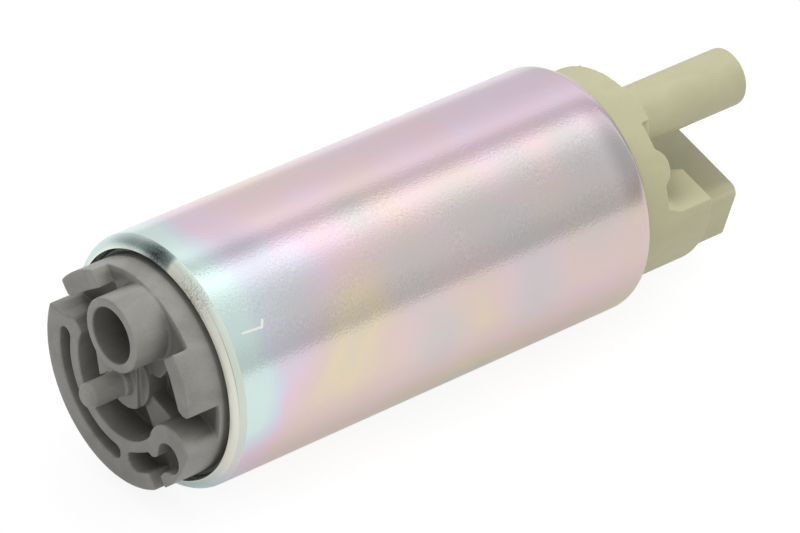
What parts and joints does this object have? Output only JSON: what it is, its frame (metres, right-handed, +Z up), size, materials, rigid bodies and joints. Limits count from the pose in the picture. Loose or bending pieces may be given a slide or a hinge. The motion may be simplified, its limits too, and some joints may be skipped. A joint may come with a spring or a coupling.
{
  "type": "electric fuel pump",
  "caption": "In-tank electric fuel pump: turbine stage and brushed motor in a rolled-end steel can, with inlet tube, outlet nipple and blade connector.",
  "frame": {"origin": "on the pump axis, halfway along the can's straight wall", "axes": "+X along the pump axis from the inlet to the outlet, +Z up as the pump lies on its side, +Y completes the right hand"},
  "size_m": [0.1162, 0.038, 0.038],
  "materials": {
    "plated_steel": "yellow-passivated zinc plate, pink, lilac and pale green, fine rings",
    "grey_moulding": "satin filled resin",
    "beige_moulding": "satin filled resin",
    "dark_moulding": "satin filled resin",
    "phenolic": "satin",
    "ground_steel": "ground",
    "sintered_bronze": "oil-filled, dull",
    "laminations": "stacked sheets",
    "insulator": "resin coated",
    "copper_wire": "enamelled",
    "copper": "turned",
    "ferrite": "dull",
    "sheet_steel": "bright",
    "carbon": "matt",
    "spring_steel": "drawn wire",
    "tinned_brass": "tin plate",
    "seal_rubber": "satin",
    "valve_rubber": "satin",
    "valve_cage": "satin"
  },
  "bodies": {
    "housing": {"can": "plated_steel", "inlet_cover": "grey_moulding", "outlet_cap": "beige_moulding", "pump_casing": "dark_moulding", "thrust_ball": "ground_steel", "lower_bearing": "sintered_bronze", "upper_bearing": "sintered_bronze", "magnet_upper": "ferrite", "magnet_lower": "ferrite", "magnet_clip_a": "sheet_steel", "magnet_clip_b": "sheet_steel", "brush_holder": "dark_moulding", "brush_spring_a": "spring_steel", "brush_spring_b": "spring_steel", "brush_lead_a": "copper", "brush_lead_b": "copper", "terminal_a": "tinned_brass", "terminal_b": "tinned_brass", "cap_seal": "seal_rubber", "check_spring": "spring_steel", "check_retainer": "valve_cage", "relief_spring": "spring_steel", "relief_plug": "sheet_steel"},
    "rotor": {"shaft": "ground_steel", "impeller": "phenolic", "armature_core": "laminations", "front_insulator": "insulator", "rear_insulator": "insulator", "windings": "copper_wire", "commutator_hub": "phenolic", "commutator_segments": "copper"},
    "brush_a": {"brush_a": "carbon"},
    "brush_b": {"brush_b": "carbon"},
    "check_valve": {"check_valve": "valve_rubber"},
    "relief_ball": {"relief_ball": "ground_steel"}
  },
  "joints": [
    {"name": "rotor_spin", "type": "hinge", "parent": "housing", "child": "rotor", "pos_m": [0, 0, 0], "axis": [1, 0, 0], "continuous": true},
    {"name": "brush_a_slide", "type": "slide", "parent": "housing", "child": "brush_a", "axis": [1, 0, 0], "range_m": [0, 0.003], "stiffness_N_per_m": 250, "springref_m": -0.006, "deforming": ["brush_spring_a", "brush_lead_a"]},
    {"name": "brush_b_slide", "type": "slide", "parent": "housing", "child": "brush_b", "axis": [1, 0, 0], "range_m": [0, 0.003], "stiffness_N_per_m": 250, "springref_m": -0.006, "deforming": ["brush_spring_b", "brush_lead_b"]},
    {"name": "check_lift", "type": "slide", "parent": "housing", "child": "check_valve", "axis": [1, 0, 0], "range_m": [0, 0.0016], "stiffness_N_per_m": 120, "springref_m": -0.003, "deforming": ["check_spring"]},
    {"name": "relief_lift", "type": "slide", "parent": "housing", "child": "relief_ball", "axis": [1, 0, 0], "range_m": [0, 0.0008], "stiffness_N_per_m": 800, "springref_m": -0.004, "deforming": ["relief_spring"]}
  ]
}
